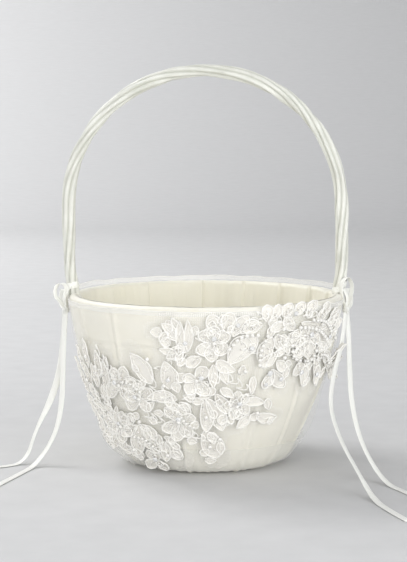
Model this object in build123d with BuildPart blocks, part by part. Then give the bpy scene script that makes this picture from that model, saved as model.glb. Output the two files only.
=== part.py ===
"""Flower girl basket: a padded satin bowl with an organza overlay, a beaded lace applique,
a pleated lining, one arched wire handle wound with satin, and a ribbon bow at each end of it.

Millimetres. The origin is the centre of the base's underside, +Z is up, the lace side faces -Y
and +X is on the right as the lace side is looked at.
"""

from build123d import *
from math import asin, atan2, cos, degrees, hypot, pi, radians, sin, sqrt, tan
import os

os.makedirs("parts", exist_ok=True)

# ---------------------------------------------------------------- driving dimensions

# bowl, measured on its outermost cloth
rim_radius = 100.0
bowl_height = 122.5
base_flat_radius = 44.0
base_corner_radius = 22.5
rim_tilt = 6.7  # degrees from upright at the top of the wall
tilt_rounds = 20  # of the search for the wall's tilt at its foot

# layers, from the outside in
layer_gap = 0.1
organza_thickness = 0.3
satin_thickness = 0.6
wadding_thickness = 3.4
shell_thickness = 1.8
lining_thickness = 0.5
base_cover_thickness = 0.35
organza_stand = 3.0  # how far the sheer edge stands above the rim
organza_hem_angle = -60.0  # on the base corner, in degrees, where the overlay is tucked under
cover_turn_in = 6.0  # depth of the satin turned over the rim to the inside

# rim
rim_wire_radius = 0.8

# floor inside the bowl
floor_card_thickness = 1.6
floor_pad_thickness = 3.0
floor_edge_gap = 1.0

# handle
handle_rise = 161.5  # from the rim's top to the wire's centre line at the top of the arch
handle_lean = 1.1  # degrees to the left
core_radius = 1.5
padding_radius = 3.2
wrap_radius = 4.3
handle_gap = 0.05
leg_depth = 52.0  # length of wire below the rim's top
neck_rise = 20.0  # height of the bend above the rim
largest_neck_bend = 130.0
neck_fill = 0.8  # share of the neck's rise that its bend may take
arch_fill = 0.495  # share of the arch's span that each top corner takes
arch_height_share = 0.85  # most of the arch's height that a top corner may take
wrap_start = 0.9  # height above the rim where the wrap begins

# staples that hold the legs to the shell
staple_wire = 0.4
staple_width = 1.1
staple_ease = 0.15  # between each staple leg and the wire that it holds
staple_drops = (42.5, 18.5)  # below the rim's top
leg_slot = 4.6  # width of the slit in the wadding for each leg

# ribbon bows
ribbon_width = 5.0
ribbon_thickness = 0.8
knot_size = (6.0, 9.0, 7.0)
knot_drop = 11.5  # from the rim's top to the knot's middle
knot_forward = 3.5
knot_stand = 0.7  # gap between the knot and the rim's outside
knot_corner = 1.6
band_height = 5.0
band_thickness = 0.4
loop_gap = 0.5  # between the knot and the loops
loop_stand = 1.4  # how far the loops start outside the knot's middle
loop_bend = 0.9  # tightest bend of a loop
corner_share = 0.45  # share of the shorter run that the arc at each corner of a tail takes

# Outline of each loop from its foot: outwards or backwards, and up.
outer_loops = {
    "left": ((0.6, 0.1), (7.5, 5.5), (6.5, 14), (1.2, 13.5)),
    "right": ((0.6, 0.1), (5.5, 11), (4.5, 20), (1.2, 15)),
}
inner_loop = ((0.6, 0.1), (6, 5), (6.5, 12), (1.2, 11))

# lace
lace_thickness = 0.7
lace_low = 14.0
lace_rim_gap = 4.5
bead_gap = 0.1
pearl_radius = 1.5
crystal_radius = 2.2
seed_radius = 0.9

# ---------------------------------------------------------------- shapes that follow from them

knot_height = bowl_height - knot_drop
staple_heights = [bowl_height - drop for drop in staple_drops]
corner_centre = (base_flat_radius, base_corner_radius)

# The wall's tilt at its foot: its arc runs from the base corner to the rim and ends at the rim's tilt.
tilt = radians(rim_tilt)
for _ in range(tilt_rounds):
    wall_foot_x = base_flat_radius + base_corner_radius * cos(tilt)
    wall_foot_z = base_corner_radius * (1 - sin(tilt))
    wall_run = rim_radius - wall_foot_x
    wall_climb = bowl_height - wall_foot_z
    tilt = 2 * atan2(wall_run, wall_climb) - radians(rim_tilt)
wall_start_tilt = degrees(tilt)
half_wall_turn = tilt - atan2(wall_run, wall_climb)
wall_arc_radius = hypot(wall_run, wall_climb) / (2 * sin(half_wall_turn))
wall_centre = (wall_foot_x - wall_arc_radius * cos(tilt), wall_foot_z + wall_arc_radius * sin(tilt))

# depth of each layer's outer and inner face under the bowl's outermost surface
satin_out = organza_thickness + layer_gap
satin_in = satin_out + satin_thickness
wadding_out = satin_in + layer_gap
wadding_in = wadding_out + wadding_thickness
shell_out = wadding_in + layer_gap
shell_in = shell_out + shell_thickness
lining_out = shell_in + layer_gap
lining_in = lining_out + lining_thickness
turned_in = lining_out + satin_thickness
core_depth = shell_out - layer_gap - core_radius

# the roll of satin over the rim
roll_depth = (satin_out + turned_in) / 2
roll_radius = (turned_in - satin_out) / 2
roll_inner_radius = roll_radius - satin_thickness
rim_pad_radius = roll_inner_radius - layer_gap / 2


def wall_angle(depth, height):
    """Angle on the wall's arc, in degrees, where the layer at this depth reaches a height."""
    return degrees(asin((height - wall_centre[1]) / (wall_arc_radius - depth)))


def on_wall(depth, angle):
    """Radius and height of the point of a layer at an angle on the wall's arc."""
    reach = wall_arc_radius - depth
    return (wall_centre[0] + reach * cos(radians(angle)), wall_centre[1] + reach * sin(radians(angle)))


def wall_radius(height, depth=0.0):
    """Radius of a layer of the wall at a height."""
    return on_wall(depth, wall_angle(depth, height))[0]


roll_height = bowl_height - roll_radius
roll_angle = wall_angle(roll_depth, roll_height)
roll_centre = on_wall(roll_depth, roll_angle)
shell_top_angle = roll_angle - degrees((rim_pad_radius + 2 * layer_gap) / wall_arc_radius)
turn_in_angle = wall_angle(turned_in, roll_height - cover_turn_in)
lining_top_angle = turn_in_angle - degrees(2 * layer_gap / wall_arc_radius)


def corner_and_wall(depth, top_angle):
    """The outside of one layer, from the flat base up to an angle on the wall."""
    corner_sweep = 90 - wall_start_tilt
    CenterArc(corner_centre, base_corner_radius - depth, -90, corner_sweep)
    CenterArc(wall_centre, wall_arc_radius - depth, -wall_start_tilt, wall_start_tilt + top_angle)


def cup_outline(outer, inner, top_angle):
    """Outline of half a cup that lies between two depths, closed across its top edge."""
    Line((0, outer), (base_flat_radius, outer))
    corner_and_wall(outer, top_angle)
    Line(on_wall(outer, top_angle), on_wall(inner, top_angle))
    corner_and_wall(inner, top_angle)
    Line((base_flat_radius, inner), (0, inner))
    Line((0, inner), (0, outer))


def write(piece, node):
    """Label a finished piece and write it as its own file."""
    piece.part.label = node
    export_step(piece.part, f"parts/{node}.step")


# ---------------------------------------------------------------- handle line

leg_top = on_wall(core_depth, wall_angle(core_depth, bowl_height))
leg_top_angle = wall_angle(core_depth, bowl_height)
leg_foot_angle = wall_angle(core_depth, bowl_height - leg_depth)
leg_lean = radians(-leg_top_angle)


def along_leg(distance):
    """Point beyond the leg's top, straight on in the direction that the leg leaves the rim."""
    return (leg_top[0] + distance * sin(leg_lean), leg_top[1] + distance * cos(leg_lean))


neck = along_leg(neck_rise)
arch_top = bowl_height + handle_rise
lean_shift = (arch_top - neck[1]) * tan(radians(handle_lean))
arch_right = (neck[0] - lean_shift, arch_top)
arch_left = (-neck[0] - lean_shift, arch_top)
neck_turn = leg_lean + radians(handle_lean)
neck_bend_radius = min(largest_neck_bend, neck_fill * neck_rise / tan(neck_turn / 2))
arch_corner_radius = min(arch_fill * 2 * neck[0], arch_height_share * (arch_top - neck[1]))


def arch_line(start):
    """The handle's centre line above the rim, from one side to the other."""
    FilletPolyline(
        (-start[0], start[1]),
        (-neck[0], neck[1]),
        arch_left,
        arch_right,
        neck,
        start,
        radius=[neck_bend_radius, arch_corner_radius, arch_corner_radius, neck_bend_radius],
    )


def mirrored_leg_line():
    """The left leg's centre line inside the wall."""
    sweep_angle = leg_top_angle - leg_foot_angle
    left_centre = (-wall_centre[0], wall_centre[1])
    CenterArc(left_centre, wall_arc_radius - core_depth, 180 - leg_top_angle, sweep_angle)


with BuildLine(Plane.XZ) as core_path:
    mirrored_leg_line()
    arch_line(leg_top)
    CenterArc(wall_centre, wall_arc_radius - core_depth, leg_foot_angle, leg_top_angle - leg_foot_angle)

wrap_foot = along_leg(wrap_start)
with BuildLine(Plane.XZ) as wrap_path:
    arch_line(wrap_foot)


def rod_along(path, outer, inner=0.0):
    """A rod that follows a path, or a tube when an inner radius is given."""
    with BuildPart() as rod:
        with BuildSketch(Plane(path.line @ 0, z_dir=path.line % 0)):
            Circle(outer)
            if inner > 0:
                Circle(inner, mode=Mode.SUBTRACT)
        sweep(path=path.line)
    return rod


handle_core = rod_along(core_path, core_radius)
write(handle_core, "handle_core")

core_clearance = rod_along(core_path, core_radius + handle_gap)

handle_padding = rod_along(wrap_path, padding_radius, core_radius + handle_gap)
write(handle_padding, "handle_padding")

handle_wrap = rod_along(wrap_path, wrap_radius, padding_radius + handle_gap)
write(handle_wrap, "handle_wrap")

# ---------------------------------------------------------------- bowl layers

staple_crown_depth = wadding_out - layer_gap / 2
staple_points = [on_wall(staple_crown_depth, wall_angle(staple_crown_depth, h)) for h in staple_heights]
staple_angles = [wall_angle(staple_crown_depth, h) for h in staple_heights]


def staple_plane(side, point, angle):
    """Plane on the wall's outside at one staple, its normal pointing out of the wall."""
    outward = (side * cos(radians(angle)), 0, sin(radians(angle)))
    return Plane(origin=(side * point[0], 0, point[1]), x_dir=(0, 1, 0), z_dir=outward)


staple_places = list(zip(staple_points, staple_angles))
staple_planes = [staple_plane(side, *place) for side in (-1, 1) for place in staple_places]
staple_reach = shell_in - staple_crown_depth - layer_gap
staple_inner_half = core_radius + staple_ease


def staple_legs(clearance=0.0):
    """The two legs of every staple, or their holes when a clearance is given."""
    with BuildPart() as legs:
        for plane in staple_planes:
            with BuildSketch(plane):
                with Locations(*[(side * (staple_inner_half + staple_wire / 2), 0) for side in (-1, 1)]):
                    Rectangle(staple_wire + 2 * clearance, staple_width + 2 * clearance)
        extrude(amount=-staple_reach - clearance)
    return legs


with BuildPart() as wall_wadding:
    with BuildSketch(Plane.XZ):
        with BuildLine():
            cup_outline(wadding_out, wadding_in, shell_top_angle)
        make_face()
    revolve(axis=Axis.Z)
    with Locations(*[(side * rim_radius, 0, bowl_height - leg_depth / 2 - core_radius) for side in (-1, 1)]):
        Box(rim_radius / 2, leg_slot, leg_depth + 4 * core_radius, mode=Mode.SUBTRACT)
write(wall_wadding, "wall_wadding")

with BuildPart() as bowl_shell:
    with BuildSketch(Plane.XZ):
        with BuildLine():
            cup_outline(shell_out, shell_in, shell_top_angle)
        make_face()
    revolve(axis=Axis.Z)
    add(staple_legs(handle_gap).part, mode=Mode.SUBTRACT)
write(bowl_shell, "bowl_shell")

with BuildPart() as leg_staples:
    add(staple_legs().part)
    for plane in staple_planes:
        with BuildSketch(plane):
            Rectangle(2 * (staple_inner_half + staple_wire), staple_width)
    extrude(amount=-staple_wire)
write(leg_staples, "leg_staples")

rim_wire_place = (roll_centre[0] - (shell_out - roll_depth) - rim_wire_radius - layer_gap, roll_height)

with BuildPart() as rim_wire:
    with BuildSketch(Plane.XZ):
        with Locations(rim_wire_place):
            Circle(rim_wire_radius)
    revolve(axis=Axis.Z)
write(rim_wire, "rim_wire")

with BuildPart() as rim_pad:
    with BuildSketch(Plane.XZ):
        with Locations(roll_centre):
            Circle(rim_pad_radius)
        with Locations(rim_wire_place):
            Circle(rim_wire_radius + handle_gap, mode=Mode.SUBTRACT)
    revolve(axis=Axis.Z)
    add(core_clearance.part, mode=Mode.SUBTRACT)
write(rim_pad, "rim_pad")

with BuildPart() as satin_cover:
    with BuildSketch(Plane.XZ):
        with BuildLine():
            Line((0, satin_out), (base_flat_radius, satin_out))
            corner_and_wall(satin_out, roll_angle)
            CenterArc(roll_centre, roll_radius, roll_angle, 180)
            CenterArc(wall_centre, wall_arc_radius - turned_in, turn_in_angle, roll_angle - turn_in_angle)
            Line(on_wall(turned_in, turn_in_angle), on_wall(lining_out, turn_in_angle))
            CenterArc(wall_centre, wall_arc_radius - lining_out, turn_in_angle, roll_angle - turn_in_angle)
            CenterArc(roll_centre, roll_inner_radius, roll_angle, 180)
            corner_and_wall(satin_in, roll_angle)
            Line((base_flat_radius, satin_in), (0, satin_in))
            Line((0, satin_in), (0, satin_out))
        make_face()
    revolve(axis=Axis.Z)
    add(core_clearance.part, mode=Mode.SUBTRACT)
write(satin_cover, "satin_cover")

organza_top_angle = wall_angle(0, bowl_height + organza_stand)
hem_turn = -wall_start_tilt - organza_hem_angle
handle_notch = (4 * wrap_radius, 3 * wrap_radius, 4 * organza_stand)


def on_corner(depth, angle):
    """Point of a layer on the base corner's arc."""
    reach = base_corner_radius - depth
    return (corner_centre[0] + reach * cos(radians(angle)), corner_centre[1] + reach * sin(radians(angle)))


with BuildPart() as organza_overlay:
    with BuildSketch(Plane.XZ):
        with BuildLine():
            for depth in (0, organza_thickness):
                CenterArc(corner_centre, base_corner_radius - depth, organza_hem_angle, hem_turn)
                wall_turn = wall_start_tilt + organza_top_angle
                CenterArc(wall_centre, wall_arc_radius - depth, -wall_start_tilt, wall_turn)
            Line(on_wall(0, organza_top_angle), on_wall(organza_thickness, organza_top_angle))
            Line(on_corner(0, organza_hem_angle), on_corner(organza_thickness, organza_hem_angle))
        make_face()
    revolve(axis=Axis.Z)
    with Locations(*[(side * rim_radius, 0, bowl_height) for side in (-1, 1)]):
        Box(*handle_notch, mode=Mode.SUBTRACT)
write(organza_overlay, "organza_overlay")

with BuildPart() as satin_lining:
    with BuildSketch(Plane.XZ):
        with BuildLine():
            cup_outline(lining_out, lining_in, lining_top_angle)
        make_face()
    revolve(axis=Axis.Z)
write(satin_lining, "satin_lining")

with BuildPart() as base_cover:
    with BuildSketch(Plane.XY):
        Circle(base_flat_radius - layer_gap)
    extrude(amount=base_cover_thickness)
write(base_cover, "base_cover")

floor_radius = base_flat_radius + floor_edge_gap
floor_base = lining_in + layer_gap

with BuildPart() as floor_card:
    with BuildSketch(Plane.XY.offset(floor_base)):
        Circle(floor_radius)
    extrude(amount=floor_card_thickness)
write(floor_card, "floor_card")

pad_base = floor_base + floor_card_thickness + layer_gap
with BuildPart() as floor_pad:
    with BuildSketch(Plane.XY.offset(pad_base)):
        Circle(floor_radius)
    extrude(amount=floor_pad_thickness)
    fillet(floor_pad.faces().sort_by(Axis.Z)[-1].edges(), floor_pad_thickness / 2)
write(floor_pad, "floor_pad")

cover_base = pad_base + layer_gap
with BuildPart() as floor_cover:
    with BuildSketch(Plane.XY.offset(cover_base)):
        Circle(floor_radius + layer_gap + satin_thickness)
    extrude(amount=floor_pad_thickness + satin_thickness)
    fillet(floor_cover.faces().sort_by(Axis.Z)[-1].edges(), floor_pad_thickness / 2 + satin_thickness)
    offset(amount=-satin_thickness, openings=floor_cover.faces().sort_by(Axis.Z)[0])
write(floor_cover, "floor_cover")

# ---------------------------------------------------------------- bows

knot_reach = wall_radius(knot_height) + knot_stand + knot_size[0] / 2
band_angle = degrees(leg_lean)


def bow_pieces(side, name):
    """The knot, the band round the handle's foot and the two loops of one bow."""
    with BuildPart() as knot:
        with Locations((side * knot_reach, -knot_forward, knot_height)):
            Box(*knot_size)
        fillet(knot.edges(), knot_corner)
    write(knot, f"{name}_bow_knot")

    foot = along_leg(wrap_start + band_thickness)
    outward = (side * sin(leg_lean), 0, cos(leg_lean))
    with BuildPart() as band:
        with BuildSketch(Plane(origin=(side * foot[0], 0, foot[1]), z_dir=outward)):
            Circle(wrap_radius + handle_gap + band_thickness)
            Circle(wrap_radius + handle_gap, mode=Mode.SUBTRACT)
        extrude(amount=band_height)
    write(band, f"{name}_bow_band")

    loop_base = knot_height + knot_size[2] / 2 + loop_gap
    outer_start = (side * (knot_reach + loop_stand), -knot_forward - layer_gap / 2, loop_base)
    outer_plane = Plane(origin=outer_start, x_dir=(side, 0, 0), z_dir=(0, -side, 0))
    ribbon_loop(outer_plane, outer_loops[name], side * ribbon_width, f"{name}_bow_outer_loop")
    inner_start = (side * (knot_reach + loop_stand), layer_gap / 2 - knot_forward, loop_base)
    inner_plane = Plane(origin=inner_start, x_dir=(0, 1, 0), z_dir=(1, 0, 0))
    ribbon_loop(inner_plane, inner_loop, side * ribbon_width, f"{name}_bow_inner_loop")


def ribbon_loop(plane, outline, width, node):
    """A closed loop of ribbon: its outline lies in a plane and its width runs along the normal."""
    with BuildPart() as loop:
        with BuildSketch(plane):
            with BuildLine():
                FilletPolyline(*outline, radius=loop_bend, close=True)
            make_face()
            offset(amount=-ribbon_thickness, mode=Mode.SUBTRACT)
        extrude(amount=width)
    write(loop, node)


bow_pieces(-1, "left")
bow_pieces(1, "right")

# Each tail's route: out of the knot, down beside the bowl and along the table.
tail_routes = {
    "left_outer_tail": [
        (-103.5, 0, 106.6),
        (-104, 1, 92),
        (-107, -1, 64),
        (-114, -8, 43),
        (-124, -13, 24),
        (-131, -18, 2.6),
        (-148, -33, 2.6),
        (-160, -37, 2.6),
    ],
    "left_inner_tail": [
        (-102.5, -6.8, 106.6),
        (-103.5, -7.5, 92),
        (-104, -12, 66),
        (-104.5, -16, 42),
        (-109.5, -21, 20),
        (-123, -27, 2.6),
        (-130.5, -52, 2.6),
        (-138, -76, 2.6),
        (-144, -96, 2.6),
    ],
    "right_outer_tail": [
        (103, -0.5, 106.6),
        (104.5, -4, 93),
        (103.5, -19, 72),
        (103.5, -40, 45),
        (109, -60, 21),
        (122, -84, 2.6),
        (133, -108, 2.6),
        (138, -124, 2.6),
    ],
    "right_inner_tail": [
        (101.5, -7, 106.6),
        (99.5, -14, 90),
        (91, -33, 69),
        (86.5, -52, 48),
        (92, -78, 29),
        (102.5, -106, 11.5),
        (109.5, -131, 2.6),
        (116, -159, 2.6),
        (125, -186, 2.6),
    ],
}


def corner_radii(route):
    """The largest arc that each corner of a route has room for."""
    radii = []
    for before, at, after in zip(route, route[1:], route[2:]):
        run_in = Vector(*at) - Vector(*before)
        run_out = Vector(*after) - Vector(*at)
        half_turn = radians(run_in.get_angle(run_out)) / 2
        radii.append(corner_share * min(run_in.length, run_out.length) / tan(half_turn))
    return radii


for node, route in tail_routes.items():
    radii = corner_radii(route)
    with BuildLine() as tail_line:
        FilletPolyline(*route, radius=radii)
    with BuildPart() as tail:
        with BuildSketch(Plane(tail_line.line @ 0, z_dir=tail_line.line % 0)):
            Circle(ribbon_width / 2)
        sweep(path=tail_line.line)
    write(tail, node)
    length = sum(edge.length for edge in tail_line.line.edges())
    swept = pi * (ribbon_width / 2) ** 2 * length
    rounded = [round(radius, 1) for radius in radii]
    print(f"{node}: length {length:.1f}, radii {rounded}, volume {tail.part.volume / swept:.4f} of swept")

# ---------------------------------------------------------------- lace and beads

lace_high = bowl_height - lace_rim_gap
lace_depth = -bead_gap

# Petals and leaves as seen from the front: centre x, centre z, half width, half height, turn in degrees.
petals = (
    (44, 109, 16, 8, 0),
    (68, 104, 15, 13, -15),
    (85, 90, 8, 15, 5),
    (66, 86, 13, 13, 20),
    (47, 77, 8, 11, 10),
    (70, 70, 11, 7, 0),
    (7, 99, 14, 14, 0),
    (24, 97, 9, 14, -25),
    (-12, 101, 11, 10, 0),
    (-25, 104, 11, 7, 10),
    (0, 78, 12, 12, 0),
    (18, 72, 9, 14, -10),
    (38, 50, 13, 5, 8),
    (25, 58, 8, 14, 20),
    (6, 58, 14, 13, 0),
    (-10, 66, 13, 14, 0),
    (-28, 76, 8, 14, 15),
    (-44, 78, 9, 14, 25),
    (-30, 58, 15, 8, 0),
    (-20, 42, 15, 11, 0),
    (2, 34, 12, 12, 0),
    (-28, 26, 14, 9, 0),
    (-46, 33, 12, 11, 0),
    (-48, 55, 14, 14, 0),
    (-62, 62, 11, 18, 15),
    (-76, 76, 10, 22, 12),
    (-60, 40, 10, 14, 30),
)

# Vertical cuts between the three pieces of lace.
lace_strips = {
    "lace_left": (-rim_radius, -36),
    "lace_centre": (-36, 33),
    "lace_right": (33, rim_radius),
}

for node, (left_edge, right_edge) in lace_strips.items():
    with BuildPart() as lace:
        with BuildSketch(Plane.XZ):
            with BuildLine():
                low = wall_angle(0, lace_low)
                high = wall_angle(0, lace_high)
                for depth in (lace_depth, lace_depth - lace_thickness):
                    CenterArc(wall_centre, wall_arc_radius - depth, low, high - low)
                for angle in (low, high):
                    Line(on_wall(lace_depth, angle), on_wall(lace_depth - lace_thickness, angle))
            make_face()
        revolve(axis=Axis.Z)
        with BuildSketch(Plane.XZ):
            for x, z, half_width, half_height, turn in petals:
                with Locations((x, z)):
                    Ellipse(half_width, half_height, rotation=turn)
            with Locations(((left_edge + right_edge) / 2, bowl_height / 2)):
                Rectangle(right_edge - left_edge - layer_gap, 2 * bowl_height, mode=Mode.INTERSECT)
        extrude(amount=2 * rim_radius, mode=Mode.INTERSECT)
    write(lace, node)


def bead_place(x, z, radius):
    """Centre of a bead that sits on the lace, given its place as seen from the front."""
    reach = wall_radius(z, lace_depth - lace_thickness - bead_gap - radius)
    return (x, -sqrt(reach**2 - x**2), z)


def bead_ring(x, z, ring_radius, count):
    """Places round a flower's centre, evenly spaced."""
    turns = [2 * pi * step / count for step in range(count)]
    return [(x + ring_radius * cos(turn), z + ring_radius * sin(turn)) for turn in turns]


# Flower centres as seen from the front: x, z, ring radius, pearls in the ring.
flowers = (
    (7, 98, 6.0, 9),
    (24, 96, 5.0, 8),
    (47, 110, 4.5, 7),
    (72, 102, 5.5, 9),
    (63, 89, 5.5, 9),
    (-4, 72, 5.0, 8),
    (-20, 44, 5.0, 8),
    (2, 34, 5.0, 8),
    (-46, 33, 4.5, 7),
    (-48, 56, 5.0, 8),
    (-74, 76, 4.5, 7),
)
leaf_stems = ((-28, 84), (-44, 86), (47, 82), (38, 50), (70, 70), (-28, 27), (-25, 104), (18, 64))
seed_row = (-4.5, -1.5, 1.5, 4.5)

bead_groups = {
    "pearl_beads": (pearl_radius, [place for flower in flowers for place in bead_ring(*flower)]),
    "crystal_beads": (crystal_radius, [flower[:2] for flower in flowers]),
    "seed_beads": (seed_radius, [(x, z + step) for x, z in leaf_stems for step in seed_row]),
}

for node, (radius, places) in bead_groups.items():
    with BuildPart() as beads:
        with Locations(*[bead_place(x, z, radius) for x, z in places]):
            Sphere(radius)
    write(beads, node)
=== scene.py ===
"""Looks of the flower girl basket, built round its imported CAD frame.

Lengths are in millimetres and become metres where a mesh is made. The bowl's outermost cloth is the
reference surface: a place on it is an azimuth in degrees (0 is the front, -Y, and 90 is +X), a
distance along the bowl's profile from the middle of its base, and a lift off it.
"""

import random
from math import asin, atan2, ceil, cos, degrees, exp, hypot, pi, radians, sin, tan

import bpy
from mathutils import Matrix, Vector, noise


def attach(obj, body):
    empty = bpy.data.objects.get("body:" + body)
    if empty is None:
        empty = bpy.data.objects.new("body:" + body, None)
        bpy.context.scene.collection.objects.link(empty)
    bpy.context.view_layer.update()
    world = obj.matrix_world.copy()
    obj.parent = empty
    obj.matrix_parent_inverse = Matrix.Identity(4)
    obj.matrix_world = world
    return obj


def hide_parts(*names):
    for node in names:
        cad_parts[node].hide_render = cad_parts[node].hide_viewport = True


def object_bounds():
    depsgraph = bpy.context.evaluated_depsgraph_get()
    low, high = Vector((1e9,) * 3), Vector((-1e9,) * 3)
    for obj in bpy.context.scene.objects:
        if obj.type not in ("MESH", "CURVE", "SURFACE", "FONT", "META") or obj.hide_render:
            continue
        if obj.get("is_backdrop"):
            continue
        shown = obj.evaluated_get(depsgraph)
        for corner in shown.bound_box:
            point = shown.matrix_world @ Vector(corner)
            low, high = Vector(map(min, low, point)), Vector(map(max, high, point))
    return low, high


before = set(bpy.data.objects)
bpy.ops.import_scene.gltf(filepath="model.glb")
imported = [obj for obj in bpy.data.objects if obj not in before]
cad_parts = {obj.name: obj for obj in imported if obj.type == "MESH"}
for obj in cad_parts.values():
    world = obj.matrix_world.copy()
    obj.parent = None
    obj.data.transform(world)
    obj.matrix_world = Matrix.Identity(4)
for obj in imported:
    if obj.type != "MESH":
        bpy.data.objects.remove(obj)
cad_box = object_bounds()

MM = 0.001

# ---------------------------------------------------------------- camera and light

camera_distance = 1100.0
camera_tilt = radians(5.5)
camera_aim = Vector((-1.8, 0.0, 131.5))
camera_lens = 96.5

camera_data = bpy.data.cameras.new("camera")
camera_data.lens = camera_lens
camera_data.clip_end = 20.0
camera = bpy.data.objects.new("camera", camera_data)
toward_camera = Vector((0.0, -cos(camera_tilt), sin(camera_tilt)))
camera.location = (camera_aim + camera_distance * toward_camera) * MM
camera.rotation_euler = (pi / 2 - camera_tilt, 0.0, 0.0)
bpy.context.collection.objects.link(camera)
bpy.context.scene.camera = camera
bpy.context.scene.view_settings.view_transform = "Standard"


def area_light(name, place, aim, size, power, colour=(1.0, 1.0, 1.0)):
    """A square soft light at a place, facing a point, both in metres."""
    data = bpy.data.lights.new(name, "AREA")
    data.size = size
    data.energy = power
    data.color = colour
    lamp = bpy.data.objects.new(name, data)
    lamp.location = place
    lamp.rotation_euler = (Vector(aim) - Vector(place)).to_track_quat("-Z", "Y").to_euler()
    lamp.visible_camera = False
    bpy.context.collection.objects.link(lamp)


area_light("key", (-0.9, -1.1, 0.9), (0.0, 0.0, 0.08), 0.8, 2.6, (1.0, 0.99, 0.97))
area_light("front", (0.25, -1.85, 0.04), (0.0, 0.0, 0.03), 1.0, 16.5)
area_light("low_left", (-1.15, -1.15, 0.08), (0.0, 0.0, 0.03), 0.8, 4.0)
area_light("fill", (1.1, -1.0, 0.4), (0.0, 0.0, 0.05), 1.0, 8.0, (0.98, 0.99, 1.0))
area_light("top", (-0.1, 0.35, 1.4), (0.0, 0.0, 0.1), 0.9, 0.7)
area_light("backdrop", (-1.9, 1.8, 1.2), (-1.7, 3.4, 0.5), 1.4, 31.0)
area_light("floor", (-1.3, 1.0, 1.6), (-1.2, 0.9, 0.0), 1.0, 29.0)

world = bpy.data.worlds.new("studio")
world.use_nodes = True
world.node_tree.nodes["Background"].inputs["Color"].default_value = (0.97, 0.98, 1.0, 1.0)
world.node_tree.nodes["Background"].inputs["Strength"].default_value = 0.57
bpy.context.scene.world = world

# ---------------------------------------------------------------- materials


def new_material(name):
    """A node material and its Principled shader."""
    material = bpy.data.materials.new(name)
    material.use_nodes = True
    return material, material.node_tree, material.node_tree.nodes["Principled BSDF"]


def add_node(tree, kind, **settings):
    """A node with its properties set by name, and its input sockets by 'in_' and their name."""
    node = tree.nodes.new(kind)
    for key, value in settings.items():
        if key.startswith("in_"):
            node.inputs[key[3:].replace("_", " ")].default_value = value
        else:
            setattr(node, key, value)
    return node


def set_inputs(shader, values):
    """Sets constants on a shader's sockets by name."""
    for name, value in values.items():
        shader.inputs[name].default_value = value


def mixed_colour(tree, shader, factor, dark, light):
    """Base colour that runs between two colours as a factor socket goes from 0 to 1."""
    ramp = add_node(tree, "ShaderNodeMix", data_type="RGBA")
    ramp.inputs[6].default_value = (*dark, 1.0)
    ramp.inputs[7].default_value = (*light, 1.0)
    tree.links.new(factor, ramp.inputs[0])
    tree.links.new(ramp.outputs[2], shader.inputs["Base Color"])


def noise_factor(tree, coordinates, scale, detail=3.0):
    """A cloudy 0 to 1 factor over the given coordinates."""
    clouds = add_node(tree, "ShaderNodeTexNoise", in_Scale=scale, in_Detail=detail)
    tree.links.new(coordinates, clouds.inputs["Vector"])
    return clouds.outputs["Fac"]


def thread_height(tree, coordinates, across, scale):
    """Parallel threads along one direction of the coordinates, 'X' or 'Y'."""
    threads = add_node(tree, "ShaderNodeTexWave", bands_direction=across, in_Scale=scale, in_Distortion=0.6)
    tree.links.new(coordinates, threads.inputs["Vector"])
    return threads.outputs["Fac"]


def add_sockets(tree, operation, first, second):
    """One Math node on two sockets, or a socket and a number."""
    maths = add_node(tree, "ShaderNodeMath", operation=operation)
    tree.links.new(first, maths.inputs[0])
    if isinstance(second, (int, float)):
        maths.inputs[1].default_value = second
    else:
        tree.links.new(second, maths.inputs[1])
    return maths.outputs[0]


def bump_from(tree, shader, height, strength, distance):
    """Feeds a height socket to the shader's normal."""
    bump = add_node(tree, "ShaderNodeBump", in_Strength=strength, in_Distance=distance)
    tree.links.new(height, bump.inputs["Height"])
    tree.links.new(bump.outputs["Normal"], shader.inputs["Normal"])


def coordinates_of(tree, kind):
    """The socket of one kind of texture coordinate: 'UV' or 'Object'."""
    return add_node(tree, "ShaderNodeTexCoord").outputs[kind]


def painted_crease_shade(tree, coordinates, spacing):
    """Painted shade: 0 in creases that run along Y, this many millimetres apart, where shade falls, and 1 on
    the crests between them.
    """
    parts = add_node(tree, "ShaderNodeSeparateXYZ")
    tree.links.new(coordinates, parts.inputs[0])
    phase = add_sockets(tree, "MULTIPLY", parts.outputs["X"], pi / spacing)
    wave = add_sockets(tree, "COSINE", phase, 0.0)
    return add_sockets(tree, "POWER", add_sockets(tree, "ABSOLUTE", wave, 0.0), 0.8)


def cloth(name, dark, light, threads_per_mm, roughness, sheen, coat=0.0, creases=0.0):
    """Woven cloth: threads both ways, cloudy colour and a soft sheen, with painted shade darkening the colour
    in creases so far apart.
    """
    material, tree, shader = new_material(name)
    where = coordinates_of(tree, "UV")
    wave_scale = threads_per_mm / pi
    warp = thread_height(tree, where, "X", wave_scale)
    weft = thread_height(tree, where, "Y", wave_scale * 1.35)
    weave = add_sockets(tree, "ADD", warp, weft)
    clouds = noise_factor(tree, where, 0.05)
    fine = noise_factor(tree, where, 1.7, 2.0)
    shade = add_sockets(tree, "ADD", clouds, add_sockets(tree, "MULTIPLY", fine, 0.15))
    # painted shade: the base colour darkens in the creases
    if creases:
        shade = add_sockets(tree, "MULTIPLY", shade, painted_crease_shade(tree, where, creases))
    mixed_colour(tree, shader, shade, dark, light)
    bump_from(tree, shader, add_sockets(tree, "ADD", weave, fine), 0.35, 0.00006)
    finish = {
        "Roughness": roughness, "Sheen Weight": sheen, "Sheen Roughness": 0.35, "Coat Weight": coat,
        "Coat Roughness": 0.3,
    }
    set_inputs(shader, finish)
    return material


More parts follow.
